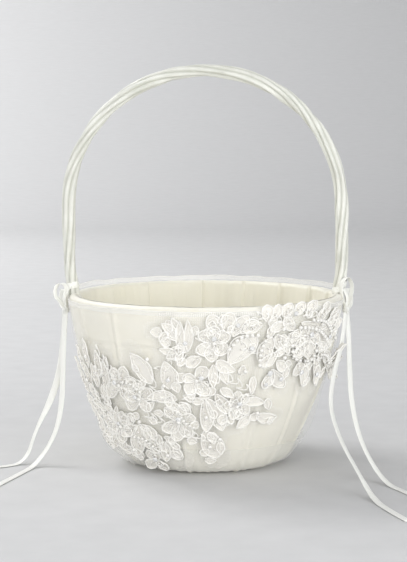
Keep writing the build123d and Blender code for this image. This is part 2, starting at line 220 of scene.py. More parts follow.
def sheer(name, dark, light, open_share, cell_mm, hem_low, hem_high):
    """A sheer cloth whose alpha is a fine grid of threads, doubled past two hem lines. UV runs in mm."""
    material, tree, shader = new_material(name)
    where = coordinates_of(tree, "UV")
    warp = thread_height(tree, where, "X", 1.0 / cell_mm)
    weft = thread_height(tree, where, "Y", 1.0 / cell_mm)
    grid = add_sockets(tree, "MAXIMUM", warp, weft)
    clouds = noise_factor(tree, where, 0.04)
    mixed_colour(tree, shader, clouds, dark, light)
    spread = add_sockets(tree, "MULTIPLY", grid, 1.0 - open_share)
    split = add_node(tree, "ShaderNodeSeparateXYZ")
    tree.links.new(where, split.inputs[0])
    upper = add_sockets(tree, "GREATER_THAN", split.outputs["Y"], hem_high)
    lower = add_sockets(tree, "LESS_THAN", split.outputs["Y"], hem_low)
    upper = add_sockets(tree, "MULTIPLY", upper, 0.4)
    lower = add_sockets(tree, "MULTIPLY", lower, 0.16)
    doubled = add_sockets(tree, "ADD", upper, lower)
    cloudy = add_sockets(tree, "MULTIPLY", clouds, 0.1)
    alpha = add_sockets(tree, "ADD", spread, add_sockets(tree, "ADD", doubled, cloudy))
    tree.links.new(alpha, shader.inputs["Alpha"])
    bump_from(tree, shader, grid, 0.25, 0.00005)
    set_inputs(shader, {"Roughness": 0.42, "Sheen Weight": 0.4})
    return material


def net(name, colour, cell_mm, thread_share):
    """A hexagonal-looking net: threads where cells of a Voronoi pattern meet, holes between them."""
    material, tree, shader = new_material(name)
    where = coordinates_of(tree, "UV")
    cells = add_node(tree, "ShaderNodeTexVoronoi", feature="DISTANCE_TO_EDGE", in_Scale=1.0 / cell_mm)
    cells.inputs["Randomness"].default_value = 0.35
    tree.links.new(where, cells.inputs["Vector"])
    threads = add_sockets(tree, "LESS_THAN", cells.outputs["Distance"], thread_share)
    clouds = noise_factor(tree, where, 0.3)
    dark = tuple(0.93 * part for part in colour)
    mixed_colour(tree, shader, clouds, dark, colour)
    tree.links.new(threads, shader.inputs["Alpha"])
    shader.inputs["Roughness"].default_value = 0.6
    return material


def stitched(name, dark, light, stitches_per_mm, roughness, alpha=1.0):
    """Dense embroidery: short slanting stitches with a silky thread."""
    material, tree, shader = new_material(name)
    where = coordinates_of(tree, "UV")
    slant = add_node(tree, "ShaderNodeMapping")
    slant.inputs["Rotation"].default_value = (0.0, 0.0, radians(32))
    tree.links.new(where, slant.inputs["Vector"])
    rows = thread_height(tree, slant.outputs["Vector"], "X", stitches_per_mm / pi)
    fine = noise_factor(tree, where, 1.4, 3.0)
    shade = add_sockets(tree, "ADD", fine, add_sockets(tree, "MULTIPLY", rows, 0.25))
    mixed_colour(tree, shader, shade, dark, light)
    bump_from(tree, shader, add_sockets(tree, "ADD", rows, fine), 0.3, 0.00008)
    set_inputs(shader, {"Roughness": roughness, "Sheen Weight": 0.3})
    if alpha < 1.0:
        weave = add_sockets(tree, "MULTIPLY", rows, 0.3)
        tree.links.new(add_sockets(tree, "ADD", weave, alpha), shader.inputs["Alpha"])
    return material


def bead(name, colour, roughness, coat, transmission=0.0, ior=1.5, metallic=0.0):
    """A glossy bead with a faint cloudy body colour."""
    material, tree, shader = new_material(name)
    where = coordinates_of(tree, "Object")
    clouds = noise_factor(tree, where, 420.0)
    mixed_colour(tree, shader, clouds, tuple(0.9 * part for part in colour), colour)
    finish = {
        "Roughness": roughness, "Coat Weight": coat, "Coat Roughness": 0.06,
        "Transmission Weight": transmission, "IOR": ior, "Metallic": metallic,
    }
    set_inputs(shader, finish)
    return material


def grainy(name, dark, light, scale, roughness, metallic=0.0, relief=0.0002):
    """Board, felt or wire: a grain in colour and in relief."""
    material, tree, shader = new_material(name)
    where = coordinates_of(tree, "Object")
    grain = noise_factor(tree, where, scale, 5.0)
    mixed_colour(tree, shader, grain, dark, light)
    bump_from(tree, shader, grain, 0.4, relief)
    set_inputs(shader, {"Roughness": roughness, "Metallic": metallic})
    return material


def backdrop_cloth():
    """Pale grey linen for the floor and backdrop."""
    material, tree, shader = new_material("backdrop_linen")
    where = coordinates_of(tree, "Object")
    stretch = add_node(tree, "ShaderNodeMapping")
    stretch.inputs["Scale"].default_value = (40.0, 40.0, 900.0)
    tree.links.new(where, stretch.inputs["Vector"])
    streaks = noise_factor(tree, stretch.outputs["Vector"], 1.0, 4.0)
    mixed_colour(tree, shader, streaks, (0.58, 0.58, 0.582), (0.665, 0.665, 0.667))
    shader.inputs["Roughness"].default_value = 0.8
    return material


satin_ivory = cloth("satin_ivory", (0.86, 0.83, 0.71), (0.925, 0.90, 0.81), 5.0, 0.36, 0.25, coat=0.12)
satin_lining_cream = cloth("satin_lining_cream", (0.83, 0.80, 0.67), (0.91, 0.885, 0.78), 5.0, 0.4, 0.25)
wrap_ridges = 6
wrap_middle_radius = 4.2
wrap_ridge_width = 2 * pi * wrap_middle_radius / wrap_ridges
# The handle's satin has painted shade in the valleys between its ridges: the dark colour is the painted
# valley shade, the light one the lit crests.
satin_handle = cloth(
    "satin_handle",
    (0.52, 0.525, 0.455),
    (0.97, 0.97, 0.91),
    5.0,
    0.3,
    0.12,
    coat=0.12,
    creases=wrap_ridge_width,
)
ribbon_white = cloth("ribbon_white", (0.88, 0.88, 0.82), (0.94, 0.94, 0.90), 6.0, 0.32, 0.3, coat=0.15)
organza_sheer = sheer("organza_sheer", (0.92, 0.915, 0.875), (0.97, 0.965, 0.935), 0.84, 0.25, 26.0, 146.3)
lace_net = net("lace_net", (0.96, 0.95, 0.92), 1.1, 0.06)
lace_fill = stitched("lace_fill", (0.93, 0.905, 0.835), (0.98, 0.955, 0.895), 3.0, 0.55, alpha=0.66)
lace_cord = stitched("lace_cord", (0.95, 0.93, 0.875), (0.985, 0.97, 0.93), 4.0, 0.45)
pearl = bead("pearl", (0.90, 0.885, 0.84), 0.22, 1.0)
crystal = bead("crystal", (0.97, 0.97, 0.96), 0.05, 1.0, transmission=0.2, ior=1.8)
seed_pearl = bead("seed_pearl", (0.86, 0.84, 0.80), 0.18, 1.0, metallic=0.25)
felt = grainy("felt", (0.86, 0.86, 0.84), (0.93, 0.93, 0.92), 900.0, 0.95)
board = grainy("board", (0.62, 0.59, 0.52), (0.72, 0.69, 0.62), 350.0, 0.85)
card = grainy("card", (0.72, 0.70, 0.64), (0.80, 0.78, 0.72), 500.0, 0.8)
steel = grainy("steel", (0.45, 0.45, 0.46), (0.62, 0.62, 0.63), 1500.0, 0.35, metallic=1.0, relief=0.00005)

for node, finish in {
    "wall_wadding": felt,
    "rim_pad": felt,
    "floor_pad": felt,
    "handle_padding": felt,
    "bowl_shell": board,
    "floor_card": card,
    "rim_wire": steel,
    "handle_core": steel,
    "leg_staples": steel,
}.items():
    for material_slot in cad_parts[node].material_slots:
        material_slot.material = finish

# ---------------------------------------------------------------- floor


def stage_sweep():
    """The floor and the backdrop behind it as one curved sheet."""
    half_width, front, turn, rise_radius, height = 4.0, -4.0, 2.7, 0.9, 4.0
    outline = [(front, 0.0), (turn, 0.0)]
    steps = 16
    for step in range(1, steps + 1):
        angle = pi / 2 * step / steps
        outline.append((turn + rise_radius * sin(angle), rise_radius * (1 - cos(angle))))
    outline.append((turn + rise_radius, height))
    verts = [(x, y, z) for y, z in outline for x in (-half_width, half_width)]
    faces = [(2 * i, 2 * i + 1, 2 * i + 3, 2 * i + 2) for i in range(len(outline) - 1)]
    mesh = bpy.data.meshes.new("studio_floor")
    mesh.from_pydata(verts, [], faces)
    for polygon in mesh.polygons:
        polygon.use_smooth = True
    sweep = bpy.data.objects.new("studio_floor", mesh)
    sweep.data.materials.append(backdrop_cloth())
    bpy.context.collection.objects.link(sweep)
    sweep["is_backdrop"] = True


stage_sweep()

# ---------------------------------------------------------------- mesh building


class Patchwork:
    """Vertices, faces and a UV for each vertex, gathered in millimetres."""

    def __init__(self):
        self.verts = []
        self.uvs = []
        self.faces = []

    def grid(self, rows, columns, point, wrap=False, uv=None):
        """Quads over rows and columns of points. With wrap, the last column joins the first."""
        start = len(self.verts)
        for row in range(rows):
            for column in range(columns):
                place = point(row, column)
                self.verts.append(place)
                self.uvs.append(uv(row, column) if uv else (column, row))
        self.join_rows(start, rows, columns, columns if wrap else columns - 1)

    def join_rows(self, start, rows, columns, span):
        """Quads between rows of vertices that begin at start. A span of every column closes the rows."""
        for row in range(rows - 1):
            low, high = start + row * columns, start + (row + 1) * columns
            for column in range(span):
                right = (column + 1) % columns
                self.faces.append((low + column, low + right, high + right, high + column))

    def tube(self, points, radius, sides=6, bumps=0.0):
        """A round cord along points, closed at its ends. bumps swells every other ring."""
        start = len(self.verts)
        side = Vector((0.0, 0.0, 1.0))
        travelled = 0.0
        for index, place in enumerate(points):
            ahead = points[min(index + 1, len(points) - 1)] - points[max(index - 1, 0)]
            ahead.normalize()
            side = side - ahead * side.dot(ahead)
            if side.length < 1e-4:
                side = ahead.orthogonal()
            side.normalize()
            other = ahead.cross(side)
            if index:
                travelled += (place - points[index - 1]).length
            ends = 0.45 if index in (0, len(points) - 1) else 1.0
            reach = radius * ends * (1.0 + bumps * (1 if index % 2 else -1))
            for corner in range(sides):
                angle = 2 * pi * corner / sides
                self.verts.append(place + (side * cos(angle) + other * sin(angle)) * reach)
                self.uvs.append((angle * radius, travelled))
        self.join_rows(start, len(points), sides, sides)
        last = start + (len(points) - 1) * sides
        self.faces.append(tuple(start + corner for corner in reversed(range(sides))))
        self.faces.append(tuple(last + corner for corner in range(sides)))

    def ball(self, centre, radius, axis, rings=6, sides=10, flat=1.0):
        """A bead at a centre. flat squashes it along its axis."""
        axis = axis.normalized()
        across = axis.orthogonal().normalized()
        other = axis.cross(across)
        top = len(self.verts)
        self.verts.append(centre + axis * radius * flat)
        self.uvs.append((0.0, 0.0))
        for ring in range(1, rings):
            polar = pi * ring / rings
            for side in range(sides):
                angle = 2 * pi * side / sides
                outward = across * cos(angle) + other * sin(angle)
                self.verts.append(centre + outward * radius * sin(polar) + axis * radius * flat * cos(polar))
                self.uvs.append((angle * radius, polar * radius))
        bottom = len(self.verts)
        self.verts.append(centre - axis * radius * flat)
        self.uvs.append((0.0, 0.0))
        for side in range(sides):
            right = (side + 1) % sides
            self.faces.append((top, top + 1 + side, top + 1 + right))
            final = top + 1 + (rings - 2) * sides
            self.faces.append((bottom, final + right, final + side))
            for ring in range(rings - 2):
                low, high = top + 1 + ring * sides, top + 1 + (ring + 1) * sides
                self.faces.append((low + side, high + side, high + right, low + right))

    def cut_stone(self, centre, radius, axis):
        """A faceted crystal: a table, a ring of crown facets and a point behind."""
        axis = axis.normalized()
        across = axis.orthogonal().normalized()
        other = axis.cross(across)
        start = len(self.verts)
        facets = 8
        for reach, lift, twist in ((0.55, 0.62, 0.0), (1.0, 0.18, 0.5)):
            for side in range(facets):
                angle = 2 * pi * (side + twist) / facets
                outward = across * cos(angle) + other * sin(angle)
                self.verts.append(centre + outward * radius * reach + axis * radius * lift)
                self.uvs.append((outward.x, outward.y))
        self.verts.append(centre - axis * radius * 0.55)
        self.uvs.append((0.0, 0.0))
        self.faces.append(tuple(start + side for side in range(facets)))
        for side in range(facets):
            right = (side + 1) % facets
            self.faces.append((start + side, start + facets + side, start + right))
            self.faces.append((start + right, start + facets + side, start + facets + right))
            self.faces.append((start + facets + side, start + 2 * facets, start + facets + right))

    def piece(self, name, material, smooth=True):
        """Makes the object, in metres, with its UVs and its material, riding on the root body."""
        mesh = bpy.data.meshes.new(name)
        mesh.from_pydata([tuple(c * MM for c in vert) for vert in self.verts], [], self.faces)
        layer = mesh.uv_layers.new(name="UVMap")
        for loop in mesh.loops:
            layer.data[loop.index].uv = self.uvs[loop.vertex_index]
        for polygon in mesh.polygons:
            polygon.use_smooth = smooth
        made = bpy.data.objects.new(name, mesh)
        made.data.materials.append(material)
        bpy.context.collection.objects.link(made)
        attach(made, "root")
        return made


# ---------------------------------------------------------------- the bowl's reference surface

rim_radius = 100.0
bowl_height = 122.5
base_flat_radius = 44.0
base_corner_radius = 22.5
wall_start_tilt = radians(29.6)

wall_foot_x = base_flat_radius + base_corner_radius * cos(wall_start_tilt)
wall_foot_z = base_corner_radius * (1 - sin(wall_start_tilt))
wall_run = rim_radius - wall_foot_x
wall_climb = bowl_height - wall_foot_z
half_wall_turn = wall_start_tilt - atan2(wall_run, wall_climb)
wall_arc_radius = hypot(wall_run, wall_climb) / (2 * sin(half_wall_turn))
wall_centre_x = wall_foot_x - wall_arc_radius * cos(wall_start_tilt)
wall_centre_z = wall_foot_z + wall_arc_radius * sin(wall_start_tilt)
corner_turn = pi / 2 - wall_start_tilt
corner_length = base_corner_radius * corner_turn
wall_start = base_flat_radius + corner_length


def profile(along, lift=0.0):
    """Radius, height and outward direction at a distance along the bowl's profile, lifted off it."""
    if along < base_flat_radius:
        return along, -lift, 0.0, -1.0
    if along < wall_start:
        angle = -pi / 2 + (along - base_flat_radius) / base_corner_radius
        centre_x, centre_z, reach = base_flat_radius, base_corner_radius, base_corner_radius
    else:
        angle = -wall_start_tilt + (along - wall_start) / wall_arc_radius
        centre_x, centre_z, reach = wall_centre_x, wall_centre_z, wall_arc_radius
    out_r, out_z = cos(angle), sin(angle)
    return centre_x + (reach + lift) * out_r, centre_z + (reach + lift) * out_z, out_r, out_z


def along_at(height):
    """Distance along the profile of the outermost surface at a height."""
    if height < wall_foot_z:
        below = max(-1.0, (height - base_corner_radius) / base_corner_radius)
        return base_flat_radius + base_corner_radius * (asin(below) + pi / 2)
    return wall_start + wall_arc_radius * (asin((height - wall_centre_z) / wall_arc_radius) + wall_start_tilt)


def around(radius, height, azimuth):
    """Point at a radius and height in the direction of an azimuth in degrees."""
    turn = radians(azimuth)
    return Vector((radius * sin(turn), -radius * cos(turn), height))


def on_bowl(azimuth, along, lift=0.0):
    """Point on the reference surface, lifted off it."""
    radius, height, _, _ = profile(along, lift)
    return around(radius, height, azimuth)


def out_of_bowl(azimuth, along):
    """Outward direction of the reference surface."""
    _, _, out_r, out_z = profile(along)
    turn = radians(azimuth)
    return Vector((out_r * sin(turn), -out_r * cos(turn), out_z))


def apart(azimuth, other):
    """Signed difference of two azimuths, between -180 and 180 degrees."""
    return (azimuth - other + 180.0) % 360.0 - 180.0


def smooth_step(low, high, value):
    """0 below low, 1 above high, and a smooth rise between."""
    share = min(1.0, max(0.0, (value - low) / (high - low)))
    return share * share * (3 - 2 * share)


rim_along = along_at(bowl_height)

# ---------------------------------------------------------------- ribbon tails

ribbon_width = 5.0
ribbon_thickness = 0.3

# The CAD tubes' routes, with their tops drawn up into the knots and their ends let down onto the table.
tail_routes = {
    "left_outer_tail": [
        (-103.0, -1.5, 110), (-104, 1, 92), (-107, -1, 64), (-114, -8, 43), (-124, -13, 24),
        (-131, -18, 0.6), (-148, -33, 0.6), (-160, -37, 0.6),
    ],
    "left_inner_tail": [
        (-102.3, -5.5, 110), (-103.5, -7.5, 92), (-104, -12, 66), (-104.5, -16, 42), (-109.5, -21, 20),
        (-123, -27, 0.6), (-130.5, -52, 0.6), (-138, -76, 0.6), (-144, -96, 0.6),
    ],
    "right_outer_tail": [
        (102.8, -1.5, 110), (104.5, -4, 93), (103.5, -19, 72), (103.5, -40, 45), (109, -60, 21),
        (122, -84, 0.6), (133, -108, 0.6), (138, -124, 0.6),
    ],
    "right_inner_tail": [
        (101.8, -5.5, 110), (99.5, -14, 90), (91, -33, 69), (86.5, -52, 48), (92, -78, 29),
        (102.5, -106, 11.5), (109.5, -131, 0.6), (116, -159, 0.6), (125, -186, 0.6),
    ],
}


def smooth_line(route, steps=14):
    """Points of the open NURBS spline that has the route as its control points, in millimetres."""
    curve = bpy.data.curves.new("route", "CURVE")
    curve.dimensions = "3D"
    spline = curve.splines.new("NURBS")
    spline.points.add(len(route) - 1)
    for point, place in zip(spline.points, route):
        point.co = (*(c * MM for c in place), 1.0)
    spline.order_u = 3
    spline.use_endpoint_u = True
    spline.resolution_u = steps
    holder = bpy.data.objects.new("route", curve)
    bpy.context.collection.objects.link(holder)
    line = bpy.data.meshes.new_from_object(holder)
    points = [vert.co / MM for vert in line.vertices]
    bpy.data.objects.remove(holder)
    bpy.data.curves.remove(curve)
    bpy.data.meshes.remove(line)
    return points


def ribbon_strip(name, points, facing, width):
    """A flat ribbon along points. facing gives the direction of its face at a share of its length."""
    cloth_part = Patchwork()
    across_steps = 6
    rings = []
    travelled = 0.0
    for index, place in enumerate(points):
        ahead = (points[min(index + 1, len(points) - 1)] - points[max(index - 1, 0)]).normalized()
        face = facing(index / (len(points) - 1))
        face = (face - ahead * face.dot(ahead)).normalized()
        across = ahead.cross(face)
        if index:
            travelled += (place - points[index - 1]).length
        ring = []
        for top in (1, -1):
            for step in range(across_steps + 1):
                share = (step / across_steps - 0.5) * top
                cup = 0.35 * (1 - 4 * share * share)
                lift = face * (cup + 0.5 * ribbon_thickness * top * (1 - 0.5 * (2 * share) ** 4))
                ring.append((place + across * width * share + lift, (share * width, travelled)))
        rings.append(ring)
    sides = len(rings[0])
    cloth_part.grid(
        len(rings),
        sides,
        lambda row, column: rings[row][column][0],
        wrap=True,
        uv=lambda row, column: rings[row][column][1],
    )
    cloth_part.faces.append(tuple(reversed(range(sides))))
    cloth_part.faces.append(tuple((len(rings) - 1) * sides + step for step in range(sides)))
    return cloth_part.piece(name, ribbon_white)


def turned(azimuth, rise=0.0):
    """Unit direction from an azimuth and a rise, both in degrees."""
    level = cos(radians(rise))
    return Vector((level * sin(radians(azimuth)), -level * cos(radians(azimuth)), sin(radians(rise))))


def blend_of(stops):
    """Direction that runs smoothly through (share, direction) stops, and stays at the last."""

    def facing(share):
        for (low, first), (high, second) in zip(stops, stops[1:]):
            if share <= high:
                return first.lerp(second, smooth_step(low, high, share)).normalized()
        return stops[-1][1]

    return facing


def length_of(line):
    """Length of a line of points."""
    return sum((after - before).length for before, after in zip(line, line[1:]))


up = Vector((0.0, 0.0, 1.0))
tail_facings = {
    "left_outer_tail": blend_of([(0.0, turned(-30)), (0.3, turned(-8)), (0.62, turned(-60, 30)), (0.85, up)]),
    "left_inner_tail": blend_of([(0.0, turned(-38)), (0.3, turned(-34)), (0.5, turned(-50, 35)), (0.72, up)]),
    "right_outer_tail": blend_of([(0.0, turned(38)), (0.3, turned(30)), (0.6, turned(45, 20)), (0.85, up)]),
    "right_inner_tail": blend_of([(0.0, turned(45)), (0.3, turned(38)), (0.6, turned(48, 25)), (0.85, up)]),
}

for node, route in tail_routes.items():
    line = smooth_line(route)
    tail = ribbon_strip(node + "_ribbon", line, tail_facings[node], ribbon_width)
    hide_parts(node)
    length = length_of(line) * MM
    tuple(c * MM for c in route[0])

# ---------------------------------------------------------------- satin cover

# Narrow folds pressed into the satin: azimuth, width in degrees, depth in millimetres.
cover_folds = (
    (-63, 2.4, 1.1), (-41, 2.2, 0.95), (-14, 2.2, 0.5), (22, 2.6, 0.8), (47, 2.2, 0.7), (71, 2.6, 0.9),
    (103, 2.4, 0.45), (128, 2.0, 0.4), (157, 2.6, 0.5), (-172, 2.0, 0.4), (-141, 2.4, 0.45),
    (-112, 2.2, 0.4), (-88, 2.0, 0.35),
)
band_seam_height = 94.0
roll_depth = 3.75
roll_radius = 3.35
roll_height = bowl_height - roll_radius
turn_in_depth = 7.1
cover_low = base_flat_radius - 2.0
closest_to_wadding = -1.15
above_table = 0.02


def soft_noise(azimuth, height, scale, seed):
    """Smooth noise round the bowl, about -1 to 1, that closes on itself."""
    turn = radians(azimuth)
    return noise.noise(Vector((60 * sin(turn), -60 * cos(turn), height)) * scale + Vector((seed, seed, seed)))


def cover_lift(azimuth, height):
    """How far the satin lies off its CAD surface: folds, the seam of the upper band and slack."""
    lift = 0.5 * soft_noise(azimuth, 0.4 * height, 0.035, 3.0) + 0.16 * soft_noise(azimuth, height, 0.11, 9.0)
    for at, width, depth in cover_folds:
        off = apart(azimuth, at + 1.4 * soft_noise(at, height, 0.02, 5.0)) / width
        if abs(off) < 4:
            lift += depth * (1.1 * exp(-((off - 0.7) ** 2) * 2.0) - exp(-(off**2) * 4.0))
    lift -= 0.45 * exp(-(((height - band_seam_height) / 0.9) ** 2))
    lift += 0.25 * exp(-(((height - band_seam_height - 2.4) / 1.8) ** 2))
    gathers = sin(radians(azimuth) * 46 + 2.5 * soft_noise(azimuth, 0, 0.05, 1.0))
    lift += 0.22 * gathers * smooth_step(20.0, 5.0, height)
    return max(closest_to_wadding, lift)


def roll_padding(azimuth):
    """How much further than its usual radius the padded rim swells at an azimuth."""
    return 0.35 * soft_noise(azimuth, 0.0, 0.09, 7.0) + 0.12 * sin(radians(azimuth) * 70)


def cover_profile(share, azimuth):
    """A point of the satin at a share of its way from the base, up the wall and over the rim."""
    wall_share = 0.84
    roll_share = 0.94
    low, high = cover_low, along_at(roll_height)
    if share <= wall_share:
        along = low + (high - low) * share / wall_share
        height = profile(along)[1]
        taper = smooth_step(0.0, 0.06, share) * (1 - 0.6 * smooth_step(0.80, 0.84, share))
        place = on_bowl(azimuth, along, 0.1 * taper - 0.15 + cover_lift(azimuth, height) * taper)
        place.z = max(above_table, place.z)
        return place
    centre_r, centre_z, out_r, out_z = profile(high, -roll_depth)
    padding = roll_padding(azimuth)
    if share <= roll_share:
        angle = atan2(out_z, out_r) + pi * (share - wall_share) / (roll_share - wall_share)
        reach = roll_radius + padding * (1.0 - 0.6 * (share - wall_share) / (roll_share - wall_share))
        return around(centre_r + reach * cos(angle), centre_z + reach * sin(angle), azimuth)
    fall = (share - roll_share) / (1.0 - roll_share)
    radius, height, _, _ = profile(high - 6.0 * fall, -turn_in_depth - min(0.0, padding) * (1 - fall))
    return around(radius, height, azimuth)


def round_piece(patch, rows, columns, place, width_per_degree=1.75, height=150.0):
    """Adds a closed skirt of cloth to a patchwork, with UVs in millimetres."""
    patch.grid(
        rows,
        columns + 1,
        lambda row, column: place(row / (rows - 1), 360.0 * column / columns - 180.0),
        uv=lambda row, column: (360.0 * column / columns * width_per_degree, height * row / (rows - 1)),
    )


cover_patch = Patchwork()
round_piece(cover_patch, 110, 640, cover_profile)
satin_piece = cover_patch.piece("satin_cover_cloth", satin_ivory)
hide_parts("satin_cover")

# ---------------------------------------------------------------- organza overlay

overlay_low = along_at(4.0)
# Where the sheer cloth stands off the satin: azimuth, height, reach in degrees and mm, stand-off.
stand_offs = (
    (76, 30, 24, 18, 3.6), (104, 38, 16, 20, 2.2), (-74, 22, 24, 15, 6.5), (-88, 56, 22, 24, 3.0),
    (150, 35, 22, 20, 2.0), (-150, 30, 20, 18, 2.0), (20, 26, 18, 14, 1.2),
)


def overlay_lift(azimuth, height):
    """How far the organza lies off the reference surface."""
    lift = 1.2 + 0.55 * cover_lift(azimuth, height) + 0.35 * max(0.0, soft_noise(azimuth, height, 0.05, 33.0))
    for at, level, wide, tall, off in stand_offs:
        lift += off * exp(-((apart(azimuth, at) / wide) ** 2) - ((height - level) / tall) ** 2)
    return lift


def overlay_place(share, azimuth):
    """A point of the organza at a share of its way from the base to its free edge."""
    behind = smooth_step(88.0, 92.0, abs(apart(azimuth, 0.0)))
    top = rim_along - 2.2 + 5.8 * behind + (0.4 + 0.7 * behind) * soft_noise(azimuth, 0.0, 0.11, 21.0)
    for side in (-90.0, 90.0):
        top -= 6.2 * (1 - smooth_step(5.0, 8.5, abs(apart(azimuth, side))))
    along = overlay_low + (top - overlay_low) * share
    lift = overlay_lift(azimuth, profile(along)[1])
    lift += smooth_step(0.93, 1.0, share) * (0.9 * soft_noise(azimuth, 0.0, 0.16, 41.0) + 0.3) * behind
    lift -= smooth_step(0.96, 1.0, share) * 0.5 * (1.0 - behind)
    return on_bowl(azimuth, along, lift)


overlay_patch = Patchwork()
round_piece(overlay_patch, 90, 540, overlay_place)
overlay = overlay_patch.piece("organza_overlay_cloth", organza_sheer)
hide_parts("organza_overlay")

# A narrow rolled hem on the overlay's free edge.
hem_patch = Patchwork()
for low, high in ((-83.0, 83.0), (97.0, 263.0)):
    edge_line = [overlay_place(1.0, low + (high - low) * step / 240) for step in range(241)]
    hem_patch.tube(edge_line, 0.25, sides=5)
hem = hem_patch.piece("organza_hem", ribbon_white)

# ---------------------------------------------------------------- lining and floor

# Pleat edges in the lining: azimuth and the depth of the step in millimetres.
lining_pleats = (
    (120, 1.7), (141, 1.5), (161, 2.0), (182, 2.4), (211, 1.8), (233, 1.5), (255, 1.6), (279, 1.4),
    (301, 1.6), (324, 1.4), (347, 1.7), (10, 1.5), (33, 1.6), (55, 1.4), (78, 1.6), (99, 1.5),
)


def lining_place(share, azimuth):
    """A point of the lining: from the floor up the wall and against the rim's roll, with knife pleats."""
    low, high = base_flat_radius + 12.0, along_at(roll_height)
    wall_share = 0.93
    fold = 0.4 * soft_noise(azimuth, 20.0, 0.2, 51.0) + 0.3 * soft_noise(azimuth, 5.0, 0.45, 53.0)
    rise = min(1.0, share / wall_share)
    along = low + (high - low) * rise
    height = profile(along)[1]
    for at, depth in lining_pleats:
        off = apart(azimuth, at + 2.4 * soft_noise(at, height, 0.012, 57.0))
        if 0 <= off < 15:
            step = smooth_step(0.0, 0.7, off) * (1 - smooth_step(0.7, 15.0, off))
            fold += 2.1 * depth * step * (0.4 + 0.6 * sin(pi * min(1.0, 0.25 + 0.6 * rise)))
    fold = max(-0.3, fold) + 0.55
    if share <= wall_share:
        return on_bowl(azimuth, along, -turn_in_depth - fold)
    centre_r, centre_z, out_r, out_z = profile(high, -roll_depth)
    angle = atan2(out_z, out_r) + pi - radians(62.0) * (share - wall_share) / (1.0 - wall_share)
    tucked = (share - wall_share) / (1.0 - wall_share)
    reach = roll_radius + 0.2 + roll_padding(azimuth) * (0.4 + 0.2 * tucked) + fold * (1.0 - 0.95 * tucked)
    return around(centre_r + reach * cos(angle), centre_z + reach * sin(angle), azimuth)


lining_patch = Patchwork()
round_piece(lining_patch, 70, 900, lining_place, 1.5, 120.0)
lining = lining_patch.piece("satin_lining_cloth", satin_lining_cream)
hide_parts("satin_lining")


def disc_piece(name, node, radius, height, bulge, edge_drop, material, downward=False):
    """A soft round disc of cloth with small puckers towards its edge."""
    patch = Patchwork()
    rows, columns = 26, 160

    def place(row, column):
        share = row / (rows - 1)
        turn = 2 * pi * column / columns
        spot = Vector((radius * share * cos(turn), radius * share * sin(turn), height))
        pucker = 0.28 * sin(23 * turn + 1.5 * sin(3 * turn)) * share**3
        slack = 0.3 * noise.noise(spot * 0.06)
        level = height + bulge * (1 - share**2) + pucker + slack - edge_drop * smooth_step(0.93, 1.0, share)
        spot.z = max(above_table, level)
        return spot

    order = place if not downward else lambda row, column: place(row, columns - column)
    patch.grid(rows, columns, order, wrap=True, uv=lambda r, c: tuple(place(r, c).xy))
    piece = patch.piece(name, material)
    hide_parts(node)


disc_piece("floor_cover_cloth", "floor_cover", 54.5, 13.0, 0.9, 1.6, satin_lining_cream)
disc_piece("base_cover_cloth", "base_cover", 45.0, 0.15, 0.0, 0.0, satin_ivory, downward=True)

# ---------------------------------------------------------------- handle

leg_top = Vector((96.97, 0.0, 122.5))
leg_lean = radians(6.78)
neck_rise = 20.0
arch_top = 284.0
lean_shift = 2.72
neck_bend_radius = 130.0
arch_corner_radius = 98.3


def along_leg(distance, side):
    """Point on the handle's line near one foot, side being -1 for the left and 1 for the right."""
    return Vector((side * (leg_top.x + distance * sin(leg_lean)), 0.0, leg_top.z + distance * cos(leg_lean)))


def rounded_path(corners, radii, step):
    """Points a step apart along straight runs joined by arcs of the given radii."""
    line = [corners[0]]
    for before, at, after, radius in zip(corners, corners[1:], corners[2:], radii):
        inward, onward = (before - at).normalized(), (after - at).normalized()
        half = inward.angle(onward) / 2
        centre = at + (inward + onward).normalized() * radius / sin(half)
        first, last = at + inward * radius / tan(half), at + onward * radius / tan(half)
        turn = (first - centre).angle(last - centre)
        pieces = max(2, ceil(turn * radius / step))
        for piece in range(pieces + 1):
            share = piece / pieces
            before_part, after_part = sin((1 - share) * turn) / sin(turn), sin(share * turn) / sin(turn)
            line.append(centre + (first - centre) * before_part + (last - centre) * after_part)
    line.append(corners[-1])
    even = [line[0]]
    for end in line[1:]:
        start = even[-1]
        gap = (end - start).length
        pieces = max(1, round(gap / step))
        even.extend(start.lerp(end, piece / pieces) for piece in range(1, pieces + 1) if gap > 0.3 * step)
    return even


handle_line = rounded_path(
    [
        along_leg(-1.5, -1),
        along_leg(neck_rise, -1),
        Vector((-99.33 - lean_shift, 0.0, arch_top)),
        Vector((99.33 - lean_shift, 0.0, arch_top)),
        along_leg(neck_rise, 1),
        along_leg(-1.5, 1),
    ],
    [neck_bend_radius, arch_corner_radius, arch_corner_radius, neck_bend_radius],
    1.2,
)


wrap_turn_length = 228.0
wrap_least_radius = 3.3


def wrap_twist(travelled):
    """How far the satin's ridges have turned round the handle at a distance along it."""
    return 2 * pi * travelled / wrap_turn_length + 0.9 * noise.noise(Vector((travelled * 0.017, 4.0, 0.0)))


def wrap_radius(turn, travelled):
    """Radius of the wound satin at an angle round the handle and a distance along it."""
    twist = wrap_twist(travelled)
    crest = abs(cos(wrap_ridges / 2 * (turn - twist))) ** 0.55
    lobe = abs(cos(turn - 1.15 * twist + 0.6))
    swell = noise.noise(Vector((2.0 * cos(turn), 2.0 * sin(turn), travelled * 0.035)))
    fine = noise.noise(Vector((7.0 * cos(turn - twist), 7.0 * sin(turn - twist), travelled * 0.02)))
    return max(wrap_least_radius, 2.75 + 1.4 * crest + 0.8 * lobe + 0.9 * swell + 0.15 * fine)


wrap_patch = Patchwork()
wrap_sides = 60
wrap_travel = [0.0]
for here, there in zip(handle_line, handle_line[1:]):
    wrap_travel.append(wrap_travel[-1] + (there - here).length)


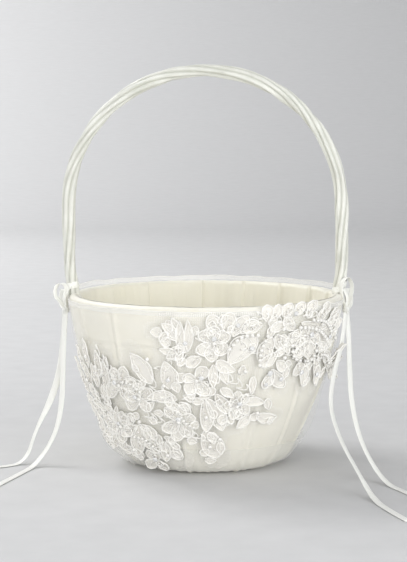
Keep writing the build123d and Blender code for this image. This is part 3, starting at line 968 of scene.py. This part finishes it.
def wrap_place(row, column):
    """A point of the wound satin: a ring of the handle's line and a place round it."""
    ahead = handle_line[min(row + 1, len(handle_line) - 1)] - handle_line[max(row - 1, 0)]
    side = Vector((0.0, 1.0, 0.0))
    other = ahead.normalized().cross(side)
    turn = 2 * pi * column / wrap_sides
    return handle_line[row] + (side * cos(turn) + other * sin(turn)) * wrap_radius(turn, wrap_travel[row])


wrap_patch.grid(
    len(handle_line),
    wrap_sides + 1,
    wrap_place,
    uv=lambda row, column: (
        wrap_middle_radius * (2 * pi * column / wrap_sides - wrap_twist(wrap_travel[row])),
        wrap_travel[row],
    ),
)
handle_cloth = wrap_patch.piece("handle_wrap_cloth", satin_handle)
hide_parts("handle_wrap")

# ---------------------------------------------------------------- bows


def ribbon_ring(patch, centre, axis, radius, width, slope, slope_at):
    """A band of ribbon wound once round an axis, its height sloping round the turn."""
    axis = axis.normalized()
    across = Vector((0.0, -1.0, 0.0))
    other = axis.cross(across)
    columns = 7
    steps = 48

    def place(row, column):
        turn = 2 * pi * row / steps
        share = column / (columns - 1) - 0.5
        rise = slope * cos(turn - slope_at) + width * share
        bulge = 0.35 * (1 - 4 * share * share) + 0.12 * sin(9 * share + 3 * turn)
        return centre + (across * cos(turn) + other * sin(turn)) * (radius + bulge) + axis * rise

    patch.grid(steps + 1, columns, place, uv=lambda row, column: (column, row * 0.7))


def strip(patch, points, facing, width, bow=0.35):
    """A single-layer ribbon along points, added to a patchwork."""
    columns = 7

    def place(row, column):
        ahead = (points[min(row + 1, len(points) - 1)] - points[max(row - 1, 0)]).normalized()
        face = facing(row / (len(points) - 1))
        face = (face - ahead * face.dot(ahead)).normalized()
        share = column / (columns - 1) - 0.5
        return points[row] + ahead.cross(face) * width * share + face * bow * (1 - 4 * share * share)

    patch.grid(len(points), columns, place, uv=lambda row, column: (column, row))


def knot_piece(name, side):
    """A small tied knot: a puckered core with one turn of ribbon over it."""
    patch = Patchwork()
    centre = Vector((side * 102.1, -3.5, 111.0))
    rows, columns = 22, 40

    def core(row, column):
        polar = pi * row / (rows - 1)
        turn = 2 * pi * column / columns
        pucker = 1 + 0.10 * sin(7 * turn + 2 * sin(2 * polar)) * sin(polar) + 0.05 * sin(13 * turn + 1.3)
        x, y, z = sin(polar) * cos(turn), cos(polar), sin(polar) * sin(turn)
        waist = 0.78 + 0.34 * abs(y) ** 1.4
        return centre + Vector((3.1 * x * waist, 4.4 * y, 3.6 * z * waist)) * pucker

    patch.grid(rows, columns, core, wrap=True)
    ribbon_ring(patch, centre, Vector((0.15, 1.0, 0.2 * side)), 3.35, 4.0, 0.5, 1.0)
    knot = patch.piece(name, ribbon_white)
    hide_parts(name.replace("_cloth", ""))


loop_routes = {
    "left_bow_outer_loop": [
        (-102.0, -4.5, 112.0), (-105.0, -6.0, 116.0), (-110.5, -7.0, 122.5), (-108.0, -7.5, 130.5),
        (-101.5, -6.5, 130.0), (-100.8, -5.5, 120.0), (-102.0, -4.5, 112.5),
    ],
    "right_bow_outer_loop": [
        (102.0, -4.5, 112.0), (104.5, -6.5, 118.0), (106.5, -7.5, 128.5), (103.0, -7.5, 136.0),
        (97.5, -7.0, 131.0), (98.5, -6.5, 120.0), (101.5, -4.5, 112.5),
    ],
    "left_bow_inner_loop": [
        (-103.5, -2.5, 112.0), (-105.5, 1.5, 114.0), (-106.5, 7.5, 118.5), (-105.5, 10.5, 124.5),
        (-104.5, 5.5, 125.5), (-103.5, 0.5, 119.0), (-103.0, -2.8, 112.5),
    ],
    "right_bow_inner_loop": [
        (103.5, -2.5, 112.0), (105.5, 1.5, 114.0), (106.5, 7.5, 118.5), (105.5, 10.5, 124.5),
        (104.5, 5.5, 125.5), (103.5, 0.5, 119.0), (103.0, -2.8, 112.5),
    ],
}
loop_facings = {
    "left_bow_outer_loop": turned(-36),
    "right_bow_outer_loop": turned(38),
    "left_bow_inner_loop": turned(-80),
    "right_bow_inner_loop": turned(80),
}


def loop_facing(line, across):
    """Face direction of a loop's ribbon, whose width runs along one direction."""

    def facing(share):
        row = min(len(line) - 2, max(1, round(share * (len(line) - 1))))
        return (line[row + 1] - line[row - 1]).normalized().cross(across)

    return facing


loop_width = 4.2
for node, route in loop_routes.items():
    line = smooth_line(route, 10)
    loop = ribbon_strip(node + "_ribbon", line, loop_facing(line, loop_facings[node]), loop_width)
    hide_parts(node)
    length = length_of(line) * MM
    tuple(c * MM for c in route[0])

for side, name in ((-1, "left"), (1, "right")):
    knot_piece(f"{name}_bow_knot_cloth", side)
    band_patch = Patchwork()
    axis = Vector((side * sin(leg_lean), 0.0, cos(leg_lean)))
    slope, slope_at = (1.2, 0.4) if side < 0 else (3.2, 1.9)
    ribbon_ring(band_patch, along_leg(5.2, side), axis, 4.75, 4.6, slope, slope_at)
    strap = smooth_line(
        [
            (side * 100.5, -4.4, 126.5),
            (side * 102.8, -5.2, 122.5),
            (side * 103.6, -5.4, 117.5),
            (side * 102.6, -4.8, 112.0),
        ],
        10,
    )
    strip(band_patch, strap, lambda share: turned(side * 48), 4.4)
    band = band_patch.piece(f"{name}_bow_band_ribbon", ribbon_white)
    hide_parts(f"{name}_bow_band")

# ---------------------------------------------------------------- lace

# Each leaf or petal: azimuth and height of its foot, azimuth and height of its tip, and width.
leaves = (
    (-24, 70, -32, 91, 13), (-16, 67, -17, 87, 12), (-13, 60, -27, 60, 9), (-17, 106, -22, 107, 7),
    (-14, 99, -18, 101, 7), (-8, 93, -7, 116, 6), (-10, 95, -10, 115, 6), (-12, 103, -17, 113, 7),
    (-11, 104, -13, 117, 6), (-9, 97, -16, 89, 9), (-12, 93, -19, 95, 5), (24, 47, 36, 45, 8),
    (21, 48, 15, 39, 7), (20, 76, 20, 63, 5), (17, 57, 27, 57, 7), (14, 66, 13, 49, 9),
    (-62, 75, -60, 97, 8), (-56, 68, -52, 90, 8), (-52, 62, -48, 83, 8), (-65, 59, -65, 78, 8),
    (-61, 50, -67, 65, 8), (-53, 50, -54, 65, 7), (-52, 44, -56, 51, 7), (-53, 38, -63, 39, 8),
    (-48, 50, -58, 24, 6), (-42, 46, -49, 31, 5), (-58, 45, -70, 50, 7), (-55, 31, -67, 27, 7),
    (-5, 59, -10, 63, 6), (-7, 53, -12, 58, 6), (6, 68, 12, 62, 6), (2, 68, -3, 61, 6),
    (3, 85, 3, 69, 6), (7, 84, 9, 71, 6), (71, 76, 79, 90, 9), (71, 75, 83, 80, 8), (72, 71, 80, 66, 8),
    (-68, 70, -70, 90, 8), (-72, 55, -74, 72, 8), (-66, 40, -72, 55, 8), (-58, 62, -58, 80, 8),
    (-50, 72, -46, 86, 7), (-66, 28, -70, 42, 8), (-62, 18, -67, 30, 8), (-54, 20, -58, 34, 8),
    (-48, 16, -53, 28, 8), (-74, 38, -78, 52, 7), (-76, 64, -79, 80, 7),
)
petals = (
    (22, 112, 14, 108, 8), (28, 104, 33, 95, 9), (34, 104, 40, 96, 8), (30, 92, 22, 84, 8),
    (46, 84, 40, 74, 8), (44, 96, 38, 88, 9), (48, 110, 54, 118, 8), (66, 100, 72, 108, 8),
    (-2, 90, -8, 84, 8), (12, 80, 4, 88, 8), (30, 86, 34, 78, 7), (55, 104, 62, 110, 8),
    (3, 100, -3, 107, 9), (3, 100, 3, 112, 9), (3, 100, 9, 106, 9), (3, 100, 8, 93, 10),
    (3, 100, 2, 87, 9), (3, 100, -4, 94, 9), (6, 106, 1, 119, 10), (8, 106, 9, 121, 10),
    (10, 104, 16, 118, 9), (13, 106, 20, 114, 8), (9, 85, 20, 103, 16), (24, 81, 26, 103, 11),
    (28, 80, 36, 67, 9), (29, 79, 25, 67, 8), (36, 101, 51, 84, 13), (40, 111, 64, 91, 14),
    (41, 87, 48, 65, 8), (52, 84, 59, 63, 8), (55, 89, 74, 69, 9), (24, 113, 23, 125, 8),
    (27, 114, 28, 125, 7), (31, 115, 34, 125, 8), (36, 116, 40, 125, 8), (43, 115, 47, 125, 9),
    (52, 114, 57, 122, 9), (58, 108, 65, 117, 9), (33, 110, 25, 108, 7), (37, 106, 31, 115, 8),
    (61, 102, 66, 114, 8), (62, 91, 68, 103, 8), (0, 61, 8, 38, 11), (-1, 61, 0, 37, 9),
    (4, 64, 10, 50, 8), (-1, 37, 6, 17, 15), (-35, 39, -43, 16, 11), (-32, 39, -27, 29, 7),
    (-37, 38, -49, 30, 8), (-26, 32, -30, 18, 8), (-22, 28, -14, 15, 10), (-23, 28, -24, 13, 7),
)
# Small flowers: azimuth and height of the middle, and the tips of their petals.
flowers = (
    (-4, 74, ((-8, 64), (1, 64), (-10, 76), (0, 84))),
    (-13, 44, ((-19, 54), (-9, 57), (-5, 47), (-8, 32), (-16, 29), (-22, 37))),
    (-32, 12, ((-25, 6), (-35, 20), (-40, 7), (-30, 19))),
    (-41, 67, ((-43, 79), (-36, 81), (-31, 71), (-39, 56), (-51, 57))),
    (-31, 59, ((-35, 69), (-24, 66), (-27, 50), (-39, 50), (-39, 60))),
    (-48, 36, ((-54, 46), (-44, 47), (-42, 30), (-52, 24), (-60, 34))),
    (14, 55, ((8, 57), (12, 46), (20, 50), (18, 63))),
    (46, 100, ((40, 104), (44, 91), (52, 96), (51, 106))),
)
# Curling cords between the flowers: foot, tip, swing in millimetres and number of swings.
curls = (
    (-52, 90, -41, 70, 3.0, 3), (-24, 72, -12, 50, 3.5, 3), (-20, 80, -8, 92, 3.0, 2),
    (-8, 60, 2, 76, 3.0, 3), (-30, 48, -18, 40, 3.0, 3), (-40, 28, -22, 22, 3.0, 4),
    (-10, 36, 2, 30, 2.5, 3), (9, 76, 22, 62, 3.0, 3), (14, 98, 26, 90, 3.0, 3),
    (20, 118, 36, 112, 2.5, 4), (40, 118, 56, 112, 2.5, 4), (30, 96, 42, 86, 3.0, 3),
    (48, 78, 62, 92, 3.0, 3), (60, 84, 72, 76, 3.0, 2), (-62, 58, -50, 46, 2.5, 3),
    (-4, 106, 3, 92, 2.0, 3),
)
# Rows of pearls: foot, tip, bow in millimetres across the row, and the pearl's radius.
pearl_rows = (
    (9, 96, 20, 105, 3.5, 1.5), (22, 84, 24, 104, 1.5, 1.5), (36, 96, 44, 84, -4.0, 1.5),
    (44, 84, 51, 90, -3.0, 1.5), (39, 108, 57, 97, 3.0, 1.6), (46, 112, 60, 102, 3.0, 1.5),
    (-12, 50, -6, 40, -2.0, 1.2), (-38, 70, -30, 64, 2.0, 1.2), (-40, 30, -30, 24, 2.0, 1.2),
    (56, 86, 66, 78, 2.0, 1.3),
)
single_pearls = (
    (3, 100), (-4, 74), (-41, 67), (-31, 59), (-13, 44), (-48, 36), (14, 55), (24, 50), (-24, 88),
    (-60, 84), (-54, 78), (-22, 18), (2, 26), (7, 32), (-44, 20), (31, 108), (52, 108), (66, 96),
    (-66, 66), (-34, 42), (16, 80), (33, 88), (0, 48), (-18, 70),
)
crystals = (
    (27, 78, 2.3), (33, 73, 1.8), (26, 70, 1.6), (3, 103, 1.8), (46, 102, 2.2), (-33, 60, 1.8),
    (-43, 69, 2.0), (-13, 46, 2.0), (-2, 76, 1.8), (15, 57, 1.8), (44, 76, 2.0), (56, 72, 2.0),
    (60, 98, 1.8), (-31, 14, 2.0), (-49, 38, 1.8), (18, 96, 1.8), (12, 112, 1.6), (36, 118, 1.8),
    (-16, 74, 1.6), (-8, 100, 1.6),
)


class LaceSpot:
    """A small flat frame on the bowl: a foot, a tip, and the way along and across between them."""

    def __init__(self, foot_azimuth, foot_height, tip_azimuth, tip_height):
        self.azimuth, self.along = foot_azimuth, along_at(foot_height)
        self.radius = 0.5 * (profile(along_at(foot_height))[0] + profile(along_at(tip_height))[0])
        run = Vector((radians(tip_azimuth - foot_azimuth) * self.radius, along_at(tip_height) - self.along))
        self.length = run.length
        self.ahead = run.normalized()
        self.across = Vector((-self.ahead.y, self.ahead.x))

    def place(self, forward, sideways, lift):
        """Point on the organza at a distance forward and sideways, lifted off it."""
        move = self.ahead * forward + self.across * sideways
        azimuth = self.azimuth + degrees(move.x / self.radius)
        along = self.along + move.y
        height = profile(along)[1]
        return on_bowl(azimuth, along, overlay_lift(azimuth, height) + lift)

    def outward(self, forward, sideways):
        """Outward direction of the bowl there."""
        move = self.ahead * forward + self.across * sideways
        return out_of_bowl(self.azimuth + degrees(move.x / self.radius), self.along + move.y)


fill_patch, cord_patch = Patchwork(), Patchwork()
net_lift, fill_lift, cord_lift = 0.35, 0.75, 1.15


def petal_width(share, pointed):
    """Half width of a petal at a share of its length, 1 at its widest."""
    if pointed:
        return sin(pi * share**0.85) ** 0.85
    return sin(pi * min(1.0, share) ** 1.25) ** 0.62


def add_petal(spot, width, pointed, wild):
    """The fill, the outline cord and the inner stitches of one petal."""
    rows, columns = 11, 7
    lean = wild.uniform(-0.10, 0.10) * spot.length
    stand = wild.uniform(0.2, 0.8) + (3.0 if spot.azimuth > 70 else 0.0)
    frill = wild.uniform(0, 6)

    def sway(share):
        return lean * sin(pi * share)

    def raised(share, side):
        cup = 0.9 * stand * share * side * side + stand * share * share
        return cup + 0.25 * sin(5 * share * pi + frill) * abs(side)

    def place(share, side, lift):
        half = 0.5 * width * petal_width(share, pointed)
        return spot.place(share * spot.length, sway(share) + side * half, lift + raised(share, side))

    fill_patch.grid(
        rows,
        columns,
        lambda row, column: place(row / (rows - 1), 2 * column / (columns - 1) - 1, fill_lift),
        uv=lambda row, column: (
            spot.azimuth + row * spot.length / rows,
            spot.along + column * width / columns,
        ),
    )
    steps = max(9, round(spot.length / 1.1))
    outline = [place(step / steps, 1.0, cord_lift) for step in range(steps + 1)]
    outline += [place(1 - step / steps, -1.0, cord_lift) for step in range(1, steps + 1)]
    cord_patch.tube(outline, 0.48, bumps=0.12)
    if width >= 9:
        inner = [place(0.12 + 0.72 * step / steps, 0.58, cord_lift) for step in range(steps + 1)]
        inner += [place(0.84 - 0.72 * step / steps, -0.58, cord_lift) for step in range(1, steps + 1)]
        cord_patch.tube(inner, 0.3, sides=5, bumps=0.1)
        rungs = max(3, int(spot.length / 3.2))
        for rung in range(1, rungs):
            share = 0.1 + 0.8 * rung / rungs
            for side in (-1, 1):
                line = [place(share, side * reach, cord_lift - 0.1) for reach in (0.58, 0.8, 1.0)]
                cord_patch.tube(line, 0.2, sides=4)
    else:
        shares = [step / steps for step in range(steps + 1)]
        vein = [place(0.1 + 0.7 * share, 0.15 * sin(9 * share), cord_lift) for share in shares]
        cord_patch.tube(vein, 0.26, sides=5)


def add_line(patch, spot, swing, swings, radius, lift):
    """A cord from foot to tip that swings from side to side."""
    steps = max(12, int(spot.length * (1 + swings * 0.5) / 1.1))
    line = []
    for step in range(steps + 1):
        share = step / steps
        sideways = swing * sin(2 * pi * swings * share)
        forward = spot.length * share + 0.8 * swing * cos(4 * pi * swings * share) - 0.8 * swing
        line.append(spot.place(forward, sideways, lift))
    patch.tube(line, radius, sides=5, bumps=0.1)


wild = random.Random(7)
lace_areas = []
for rows, pointed in ((leaves, True), (petals, False)):
    for foot_azimuth, foot_height, tip_azimuth, tip_height, width in rows:
        spot = LaceSpot(foot_azimuth, foot_height, tip_azimuth, tip_height)
        add_petal(spot, width, pointed, wild)
        lace_areas.append((foot_azimuth, foot_height, tip_azimuth, tip_height, width))
for azimuth, height, tips in flowers:
    for tip_azimuth, tip_height in tips:
        spot = LaceSpot(azimuth, height, tip_azimuth, tip_height)
        add_petal(spot, min(9.5, max(6.5, 0.72 * spot.length)), False, wild)
        lace_areas.append((azimuth, height, tip_azimuth, tip_height, 8))
for foot_azimuth, foot_height, tip_azimuth, tip_height, swing, swings in curls:
    spot = LaceSpot(foot_azimuth, foot_height, tip_azimuth, tip_height)
    add_line(cord_patch, spot, swing, swings, 0.42, 1.3)
    lace_areas.append((foot_azimuth, foot_height, tip_azimuth, tip_height, 7))


def near_lace(azimuth, height, margin):
    """Whether a place on the bowl is within a margin of a petal."""
    radius = profile(along_at(height))[0]
    for foot_azimuth, foot_height, tip_azimuth, tip_height, width in lace_areas:
        run = Vector((radians(tip_azimuth - foot_azimuth) * radius, tip_height - foot_height))
        out = Vector((radians(azimuth - foot_azimuth) * radius, height - foot_height))
        share = min(1.0, max(0.0, out.dot(run) / max(run.length_squared, 1e-6)))
        if (out - run * share).length < 0.5 * width + margin:
            return True
    return False


# Small petals and buds that fill the gaps between the larger ones.
filler_count = 120
fillers = 0
while fillers < filler_count:
    azimuth, height = wild.uniform(-68, 70), wild.uniform(12, 117)
    bare_left = azimuth < -26 and height > 84 + 0.25 * (azimuth + 26)
    if bare_left or not near_lace(azimuth, height, 2.0):
        continue
    heading, length = wild.uniform(0, 2 * pi), wild.uniform(6.0, 9.5)
    radius = profile(along_at(height))[0]
    tip_azimuth = azimuth + degrees(length * cos(heading) / radius)
    tip_height = min(122.0, max(8.0, height + length * sin(heading)))
    if not near_lace(tip_azimuth, tip_height, 2.0):
        continue
    spot = LaceSpot(azimuth, height, tip_azimuth, tip_height)
    add_petal(spot, wild.uniform(4.5, 6.5), wild.random() < 0.4, wild)
    fillers += 1

lace_fill_piece = fill_patch.piece("lace_petals", lace_fill)
lace_cord_piece = cord_patch.piece("lace_cords", lace_cord)

# The net lies under the petals and reaches a little past them.
net_step = 1.5
net_margin = 3.5
net_low, net_high = 6.0, bowl_height
net_left, net_right = -74.0, 84.0
net_radius = 85.0

net_patch = Patchwork()
net_columns = round(radians(net_right - net_left) * net_radius / net_step)
net_rows = round((along_at(net_high) - along_at(net_low)) / net_step)
net_places = {}
for row in range(net_rows + 1):
    along = along_at(net_low) + (along_at(net_high) - along_at(net_low)) * row / net_rows
    height = profile(along)[1]
    for column in range(net_columns + 1):
        azimuth = net_left + (net_right - net_left) * column / net_columns
        wave = 0.8 * noise.noise(Vector((azimuth * 0.3, height * 0.3, 2.0)))
        if near_lace(azimuth, height, net_margin + wave):
            net_places[row, column] = len(net_patch.verts)
            net_patch.verts.append(on_bowl(azimuth, along, overlay_lift(azimuth, height) + net_lift))
            net_patch.uvs.append((radians(azimuth) * net_radius, along))
for row, column in sorted(net_places):
    corners = [(row, column), (row, column + 1), (row + 1, column + 1), (row + 1, column)]
    if all(corner in net_places for corner in corners):
        net_patch.faces.append(tuple(net_places[corner] for corner in corners))
net_piece = net_patch.piece("lace_net_cloth", lace_net)
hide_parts("lace_left", "lace_centre", "lace_right")

# ---------------------------------------------------------------- beads

pearl_patch, crystal_patch, seed_patch = Patchwork(), Patchwork(), Patchwork()
bead_lift = 1.5
for foot_azimuth, foot_height, tip_azimuth, tip_height, bow, radius in pearl_rows:
    spot = LaceSpot(foot_azimuth, foot_height, tip_azimuth, tip_height)
    count = max(2, int(spot.length / (2.15 * radius)))
    for step in range(count + 1):
        share = step / count
        sideways = bow * sin(pi * share)
        centre = spot.place(share * spot.length, sideways, bead_lift + radius)
        pearl_patch.ball(centre, radius, spot.outward(share * spot.length, sideways), flat=0.9)
for azimuth, height in single_pearls:
    spot = LaceSpot(azimuth, height, azimuth, height + 5)
    pearl_patch.ball(spot.place(0, 0, bead_lift + 1.4), 1.5, spot.outward(0, 0), flat=0.9)
for azimuth, height, radius in crystals:
    spot = LaceSpot(azimuth, height, azimuth, height + 5)
    crystal_patch.cut_stone(spot.place(0, 0, bead_lift + 0.6 * radius), radius, spot.outward(0, 0))
for foot_azimuth, foot_height, tip_azimuth, tip_height, width in lace_areas:
    if width < 8 or wild.random() < 0.25:
        continue
    spot = LaceSpot(foot_azimuth, foot_height, tip_azimuth, tip_height)
    for step in range(3):
        forward = spot.length * (0.25 + 0.2 * step) + wild.uniform(-0.6, 0.6)
        sideways = wild.uniform(-0.12, 0.12) * width
        centre = spot.place(forward, sideways, bead_lift + 0.6)
        seed_patch.ball(centre, 0.75, spot.outward(forward, sideways), rings=5, sides=8)

pearl_piece = pearl_patch.piece("pearls", pearl)
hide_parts("pearl_beads")
crystal_piece = crystal_patch.piece("crystals", crystal, smooth=False)
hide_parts("crystal_beads")
seed_piece = seed_patch.piece("seed_pearls", seed_pearl)
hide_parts("seed_beads")

ends = [[tuple(corner) for corner in box] for box in (cad_box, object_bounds())]
[[list(corner) for corner in box] for box in ends]
